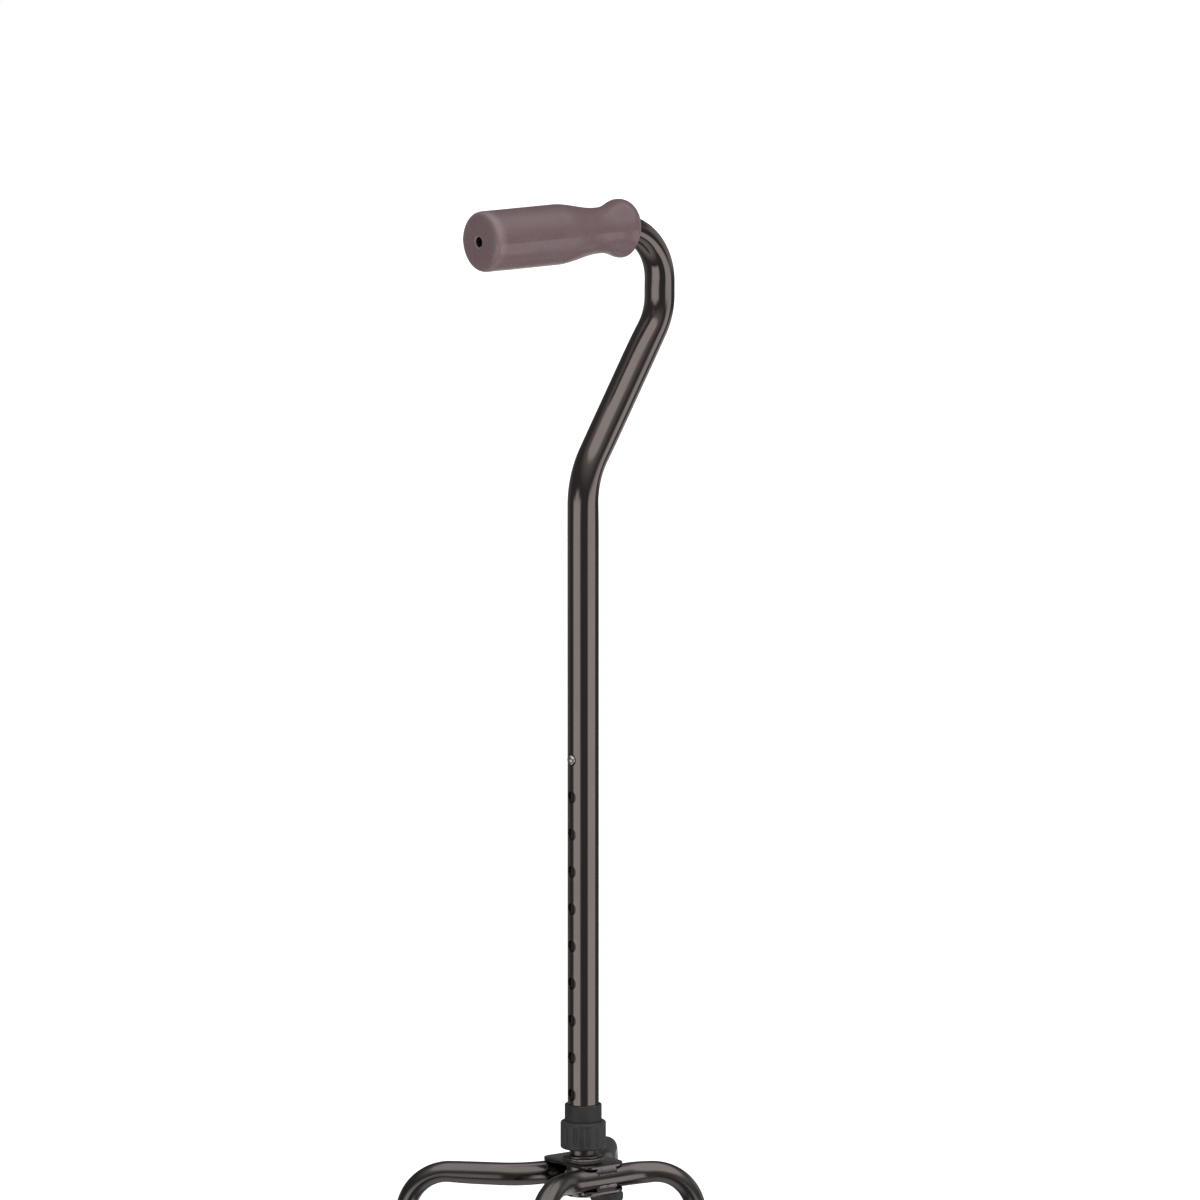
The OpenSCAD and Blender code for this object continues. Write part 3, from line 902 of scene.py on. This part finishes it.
def build_stem_ends():
    slack = 0.06 * MM
    guide_r = half_width("stem_top_bush") - slack
    plug_r = STEM_R - STEM_WALL - 0.05 * MM
    bush_bottom, bush_top = (corner.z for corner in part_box("stem_top_bush"))
    air_hole_r = 4 * MM
    bush = [
        (air_hole_r, bush_bottom, 0.3 * MM), (plug_r, bush_bottom, 0.8 * MM),
        (plug_r, STEM_TOP_Z, 0), (guide_r, STEM_TOP_Z, 0.2 * MM),
        (guide_r, bush_top, 0.8 * MM), (air_hole_r, bush_top, 0.6 * MM),
    ]
    shell = Shell()
    revolve(shell, rounded(bush), Vector((STEM_X, 0, 0)), 72)
    make_piece(shell, "stem_guide", "base", ["stem_top_bush"], nylon)
    plug_bottom, plug_top = (corner.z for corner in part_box("stem_bottom_plug"))
    recess_r = 5 * MM
    recess = 0.7 * MM
    plug = [
        (0.3 * MM, plug_bottom + recess, 0), (recess_r, plug_bottom + recess, 0.3 * MM),
        (recess_r + 0.6 * MM, plug_bottom, 0.3 * MM), (STEM_R, plug_bottom, 0.6 * MM),
        (STEM_R, STEM_BOTTOM_Z, 0), (plug_r, STEM_BOTTOM_Z, 0),
        (plug_r, plug_top, 1 * MM), (0.3 * MM, plug_top, 0),
    ]
    shell = Shell()
    revolve(shell, rounded(plug, closed=False), Vector((STEM_X, 0, 0)), 72, closed=False)
    make_piece(shell, "stem_plug", "base", ["stem_bottom_plug"], nylon)


build_stem()
build_stem_ends()


# ---- Base: hub, rivet, gusset plates, welds ----

def build_hub():
    bore_r = STEM_R + 0.05 * MM
    corners = [
        (bore_r, HUB_BOTTOM_Z, 0.3 * MM), (HUB_R, HUB_BOTTOM_Z, 0.6 * MM),
        (HUB_R, HUB_TOP_Z, 0.6 * MM), (bore_r, HUB_TOP_Z, 0.3 * MM),
    ]
    shell = Shell()
    revolve(shell, rounded(corners), Vector((STEM_X, 0, 0)))
    make_piece(shell, "hub", "base", ["base_hub"], base_bronze)


def build_rivet():
    shank_r = 2.5 * MM
    head_r = half_width("hub_rivet")
    height = RIVET_END - HUB_R
    dome_r = (head_r ** 2 + height ** 2) / (2 * height)
    head = []
    for i in range(13):
        r = head_r * (1 - i / 13)
        drop = 0.12 * MM * (r / head_r) ** 6
        head.append((r, RIVET_END - dome_r + sqrt(dome_r ** 2 - r ** 2) - drop))
    side = [(shank_r, 0), (shank_r, HUB_R)]
    side += [(head_r - 0.2 * MM, HUB_R), (head_r, HUB_R + 0.1 * MM)] + head
    profile = [(r, -h) for r, h in reversed(side)] + side[1:]
    shell = Shell()
    revolve(shell, profile, Vector((0, 0, 0)), 48, closed=False)
    turn_points(shell, Matrix.Translation((STEM_X, 0, ARM_Z)) @ Matrix.Rotation(pi / 2, 4, "X"))
    make_piece(shell, "rivet", "base", ["hub_rivet"], button_steel)


def plate_reach(angle, half_x, half_y, corner_r):
    """Distance from the middle of a rounded rectangle to its edge, in a direction."""
    low, high = 0.0, half_x + half_y
    for _ in range(40):
        reach = (low + high) / 2
        x = max(0.0, abs(reach * cos(angle)) - half_x + corner_r)
        y = max(0.0, abs(reach * sin(angle)) - half_y + corner_r)
        if hypot(x, y) < corner_r:
            low = reach
        else:
            high = reach
    return low


def build_gusset(node):
    sides = 192
    edge = 0.45 * MM
    corner_r = 8 * MM
    bore_r = HUB_R + 0.05 * MM
    bottom, top = (corner.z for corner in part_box(node))
    levels = [(edge, bottom), (edge * 0.3, bottom + edge * 0.3), (0, bottom + edge)]
    levels += [(0, top - edge), (edge * 0.3, top - edge * 0.3), (edge, top)]
    shell = Shell()
    loops = []
    for inset, z in levels:
        ring = []
        for i in range(sides):
            angle = TURN * i / sides
            reach = plate_reach(angle, GUSSET_HALF_X - inset, GUSSET_HALF_Y - inset, corner_r - inset)
            ring.append((STEM_X + reach * cos(angle), reach * sin(angle), z))
        loops.append(shell.loop(ring))
    turns = [TURN * i / sides for i in range(sides)]
    for z in (top, bottom):
        loops.append(shell.loop([(STEM_X + bore_r * cos(a), bore_r * sin(a), z) for a in turns]))
    shell.skin(loops, closed=True)
    make_piece(shell, node.replace("gusset", "plate"), "base", [node], base_bronze, 40)


def weld(shell, corners, closed):
    """A rippled bead along corners: (point, way along one face, way along the other, leg)."""
    face_steps = 7
    sunk = 0.25
    loops = []
    for i, (corner, first, second, leg) in enumerate(corners):
        ripple = 1 + 0.10 * abs(sin(i * 0.8)) + 0.16 * noise.noise(Vector(corner) / (3 * MM))
        size = leg * ripple
        section = [corner - (first + second) * leg * sunk]
        for k in range(face_steps):
            a = pi / 2 * k / (face_steps - 1)
            section.append(corner + first * size * cos(a) ** 0.85 + second * size * sin(a) ** 0.85)
        loops.append(shell.loop(section))
    shell.skin(loops, closed)
    if not closed:
        shell.cap(loops[0])
        shell.cap(loops[-1])


def build_welds():
    """Beads round the hub on both plates, and along the plates' sides on the leg tubes."""
    shell = Shell()
    steps = 220
    leg = 2.1 * MM
    levels = ((GUSSET_TOP_Z, 1), (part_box("gusset_bottom")[0].z, -1))
    for z, up in levels:
        corners = []
        for i in range(steps):
            angle = TURN * i / steps
            outward = Vector((cos(angle), sin(angle), 0))
            corner = Vector((STEM_X, 0, z)) + outward * HUB_R
            corners.append((corner, outward, Vector((0, 0, up)), leg))
        weld(shell, corners, closed=True)
    overlap = GUSSET_HALF_X - (HUB_R + LEG_R)
    lean = asin(overlap / LEG_R)
    run = 2 * (GUSSET_HALF_Y - 9 * MM)
    for z, up in levels:
        for side in (-1, 1):
            down_slope = Vector((side * cos(lean), 0, -up * sin(lean)))
            corners = []
            for i in range(steps // 2 + 1):
                t = i / (steps // 2)
                y = (t - 0.5) * run
                taper = 0.25 + 0.75 * smooth(min(t, 1 - t) * 12)
                height = z - up * (GUSSET_THICKNESS + LEG_R * (1 - cos(lean)) - 0.4 * MM)
                corner = Vector((STEM_X + side * (GUSSET_HALF_X - 0.3 * MM), y, height))
                corners.append((corner, down_slope, Vector((0, 0, up)), 2.6 * MM * taper))
            weld(shell, corners, closed=False)
    make_piece(shell, "base_welds", "base", [], base_bronze, 60)


build_hub()
build_rivet()
build_gusset("gusset_top")
build_gusset("gusset_bottom")
build_welds()


# ---- Leg tubes and rubber tips ----

INNER_SPLAY = radians(23.5)
OUTER_SPLAY = radians(49.5)
TIP_BORE_R = LEG_R + 0.05 * MM
TIP_SOLE = 8 * MM


def build_leg(name, node, out, splay, foot):
    """A tube from the rear foot past the hub to the front foot; out is 1 towards the user."""
    sideways = abs(foot.x - STEM_X - out * (HUB_R + LEG_R))
    slant = (sideways - PLAN_BEND_R * (1 - cos(splay))) / sin(splay)
    straight = foot.y - PLAN_BEND_R * sin(splay) - slant * cos(splay)
    drop = ARM_Z - LEG_BEND_R - LEG_END_Z
    steps = [
        (drop, LEG_BEND_R, pi / 2, -pi / 2 - out * splay),
        (slant - LEG_BEND_R, PLAN_BEND_R, splay, out * pi / 2),
        (2 * straight, PLAN_BEND_R, splay, 0.0),
        (slant - LEG_BEND_R, LEG_BEND_R, pi / 2, -out * pi / 2),
        (drop, 0.0, 0.0, 0.0),
    ]
    shell = Shell()
    rail = Rail((foot.x, foot.y, LEG_END_Z), steps)
    bent_tube(shell, rail, LEG_R, LEG_WALL, 56, 8 * MM, 1.7 * MM, 0.3 * MM)
    make_piece(shell, name, "base", [node], base_bronze)


def tip_outline():
    """Half of a rubber tip's section, from the middle of its sole round to its bore's floor."""
    tread = [(5 * MM, 7.5 * MM), (10 * MM, 12.5 * MM)]
    neck_r = LEG_R + 3 * MM
    bead_r = LEG_R + 3.8 * MM
    soft = 0.3 * MM
    corners = [(0.6 * MM, 0, 0)]
    for inner, outer in tread:
        corners += [(inner, 0, soft), (inner, MM, soft), (outer, MM, soft), (outer, 0, soft)]
    corners += [
        (TIP_R, 0, 1.2 * MM), (TIP_R, 5.4 * MM, 1.3 * MM), (TIP_R - 1.6 * MM, 7.2 * MM, 1.5 * MM),
        (neck_r + 0.8 * MM, 14 * MM, 5 * MM), (neck_r, 18 * MM, 1.5 * MM),
    ]
    for z in (20.4 * MM, 23.6 * MM, 26.8 * MM):
        depth = 0.55 * MM
        corners += [
            (neck_r, z, soft), (neck_r - depth, z + 0.5 * MM, soft),
            (neck_r - depth, z + 1.2 * MM, soft), (neck_r, z + 1.7 * MM, soft),
        ]
    corners += [
        (neck_r, TIP_TOP_Z - 6 * MM, 0.8 * MM), (bead_r, TIP_TOP_Z - 4.6 * MM, 0.8 * MM),
        (bead_r, TIP_TOP_Z, 1.3 * MM), (TIP_BORE_R, TIP_TOP_Z, 0.5 * MM),
        (TIP_BORE_R, TIP_SOLE, 0.3 * MM), (0.6 * MM, TIP_SOLE, 0),
    ]
    return rounded(corners, 4, closed=False)


def build_tip(node):
    foot = middle(node)
    shell = Shell()
    revolve(shell, tip_outline(), Vector((foot.x, foot.y, 0)), 72, closed=False)
    make_piece(shell, node.replace("foot_tip", "tip"), "base", [node], rubber, 50)


build_leg("leg_inner", "leg_tube_inner", 1, INNER_SPLAY, middle("foot_tip_rear_inner"))
build_leg("leg_outer", "leg_tube_outer", -1, OUTER_SPLAY, middle("foot_tip_rear_outer"))
for corner_name in ("front_inner", "rear_inner", "front_outer", "rear_outer"):
    build_tip("foot_tip_" + corner_name)
for node in ["snap_spring"] + [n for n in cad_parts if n.startswith("tip_washer")]:
    for material_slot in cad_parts[node].material_slots:
        material_slot.material = spring_steel


# ---- Studio: floor, light and camera ----

VIEW_AZIMUTH = radians(51.45)
VIEW_ELEVATION = radians(8.825)
VIEW_DISTANCE = 9.0
VIEW_LENS = 387.9
SENSOR = 36.0
AIM_HEIGHT = 0.4827
AIM_RIGHT = 0.01176
DIM_SURROUNDINGS = 0.11
PANELS_ON_MATT = 0.8
FLOOR_SIDES = 96
FLOOR_INNER_R = 0.25
FLOOR_GROWTH = 1.35


def build_floor():
    """A plain pale round floor that mirrors leave out."""
    shell = Shell()
    radii = [FLOOR_INNER_R * FLOOR_GROWTH ** i for i in range(12)]
    turns = [TURN * i / FLOOR_SIDES for i in range(FLOOR_SIDES)]
    loops = [shell.loop([(r * cos(a), r * sin(a), 0) for a in turns]) for r in radii]
    shell.skin(loops)
    shell.cap(loops[0])
    mesh = bpy.data.meshes.new("floor")
    mesh.from_pydata(shell.points, [], shell.faces)
    floor = bpy.data.objects.new("floor", mesh)
    bpy.context.scene.collection.objects.link(floor)
    look = Look("floor", {"Roughness": 0.9, "Specular IOR Level": 0.1, "Emission Strength": 0.42})
    cloth = look.noise(look.spot(), 30 * MM, 3.0)
    look.finish(look.mix(cloth, (0.80, 0.80, 0.80), (0.83, 0.83, 0.83)))
    look.shader.inputs["Emission Color"].default_value = (1, 1, 1, 1)
    mesh.materials.append(look.material)
    floor.visible_glossy = False


class Sky:
    """The studio round the object, drawn by direction: azimuth and elevation in degrees."""

    def __init__(self):
        world = bpy.data.worlds.new("studio")
        world.use_nodes = True
        bpy.context.scene.world = world
        self.tree = world.node_tree
        self.tree.nodes.clear()
        self.direction = self.add("TexCoord", {}).outputs["Generated"]
        split = self.add("SeparateXYZ", {0: self.direction})
        towards_front = self.math("MULTIPLY", split.outputs["Y"], -1.0)
        turned = self.math("ARCTAN2", split.outputs["X"], towards_front)
        self.azimuth = self.math("DEGREES", turned)
        self.elevation = self.math("DEGREES", self.math("ARCSINE", split.outputs["Z"]))

    add = Look.add
    math = Look.math
    remap = Look.remap

    def choose(self, switch, off, on):
        inputs = {0: switch, 2: off, 3: on}
        return self.add("Mix", inputs, data_type="FLOAT").outputs[0]

    def softbox(self, centre, half, low, high, blur, blur_up):
        """1 inside a panel that spans centre +- half across and low to high upwards."""
        off = self.math("ADD", self.math("SUBTRACT", self.azimuth, centre), 180.0)
        wrapped = self.math("FLOORED_MODULO", off, 360.0)
        away = self.math("ABSOLUTE", self.math("SUBTRACT", wrapped, 180.0))
        across = self.remap(away, half - blur, half + blur, 1.0, 0.0)
        above = self.remap(self.elevation, low - blur_up, low + blur_up)
        below = self.remap(self.elevation, high - blur_up, high + blur_up, 1.0, 0.0)
        return self.math("MULTIPLY", across, self.math("MULTIPLY", above, below))

    def canopy(self, azimuth, elevation, reach, blur):
        """1 within reach of one direction."""
        a, e = radians(azimuth), radians(elevation)
        towards = (sin(a) * cos(e), -cos(a) * cos(e), sin(e))
        pair = {0: self.direction, 1: towards}
        aligned = self.add("VectorMath", pair, operation="DOT_PRODUCT").outputs["Value"]
        away = self.math("DEGREES", self.math("ARCCOSINE", aligned))
        return self.remap(away, reach - blur, reach + blur, 1.0, 0.0)


def build_light():
    """What reflections see is the panels alone; what lights matt surfaces has a soft fill too."""
    sky = Sky()
    panels = [
        # Two tall softboxes, each side of the camera, and the narrow top of the first one
        (sky.softbox(3, 27, -36, -2, 7, 4), 0.97),
        (sky.softbox(119, 32, -40, -4, 6, 3), 0.97),
        (sky.softbox(3, 12, -2, 5, 8, 4), 0.80),
        # Fainter panels behind and on the left
        (sky.softbox(180, 24, -4, 24, 6, 4), 0.34),
        (sky.softbox(208, 36, -38, -13, 4, 2.5), 0.50),
        (sky.softbox(-95, 30, -30, 6, 10, 6), 0.11),
        # A canopy overhead with a soft edge, and a pale glow from below
        (sky.canopy(78, 70, 47, 4), 0.75),
        (sky.canopy(78, 70, 60, 12), 0.25),
        (sky.remap(sky.elevation, -70, -42, 1.0, 0.0), 0.40),
    ]
    total = 0.0
    for mask, level in panels:
        total = sky.math("ADD", total, sky.math("MULTIPLY", mask, level))
    glossy = sky.math("ADD", total, DIM_SURROUNDINGS)
    fill = sky.remap(sky.elevation, -60, 60, 0.50, 0.70)
    shade = sky.math("MULTIPLY", sky.canopy(0, 0, 42, 42), 0.50)
    key = sky.math("MULTIPLY", sky.canopy(75, 12, 38, 25), 0.30)
    fill = sky.math("SUBTRACT", sky.math("ADD", fill, key), shade)
    diffuse = sky.math("ADD", sky.math("MULTIPLY", total, PANELS_ON_MATT), fill)
    path = sky.add("LightPath", {}).outputs
    soft = sky.choose(path["Is Glossy Ray"], diffuse, glossy)
    seen = sky.choose(path["Is Camera Ray"], soft, 1.0)
    background = sky.add("Background", {"Color": (1, 1, 1, 1), "Strength": seen})
    sky.tree.links.new(background.outputs[0], sky.add("OutputWorld", {}).inputs["Surface"])


def build_camera():
    scene = bpy.context.scene
    data = bpy.data.cameras.new("camera")
    data.lens = VIEW_LENS
    data.sensor_width = SENSOR
    data.clip_end = 50
    camera = bpy.data.objects.new("camera", data)
    scene.collection.objects.link(camera)
    right = Vector((cos(VIEW_AZIMUTH), sin(VIEW_AZIMUTH), 0))
    level = cos(VIEW_ELEVATION)
    back = Vector((sin(VIEW_AZIMUTH) * level, -cos(VIEW_AZIMUTH) * level, sin(VIEW_ELEVATION)))
    camera.location = Vector((STEM_X, 0, AIM_HEIGHT)) + right * AIM_RIGHT + back * VIEW_DISTANCE
    camera.rotation_euler = (-back).to_track_quat("-Z", "Y").to_euler()
    scene.camera = camera
    scene.view_settings.view_transform = "Standard"


build_floor()
build_light()
build_camera()
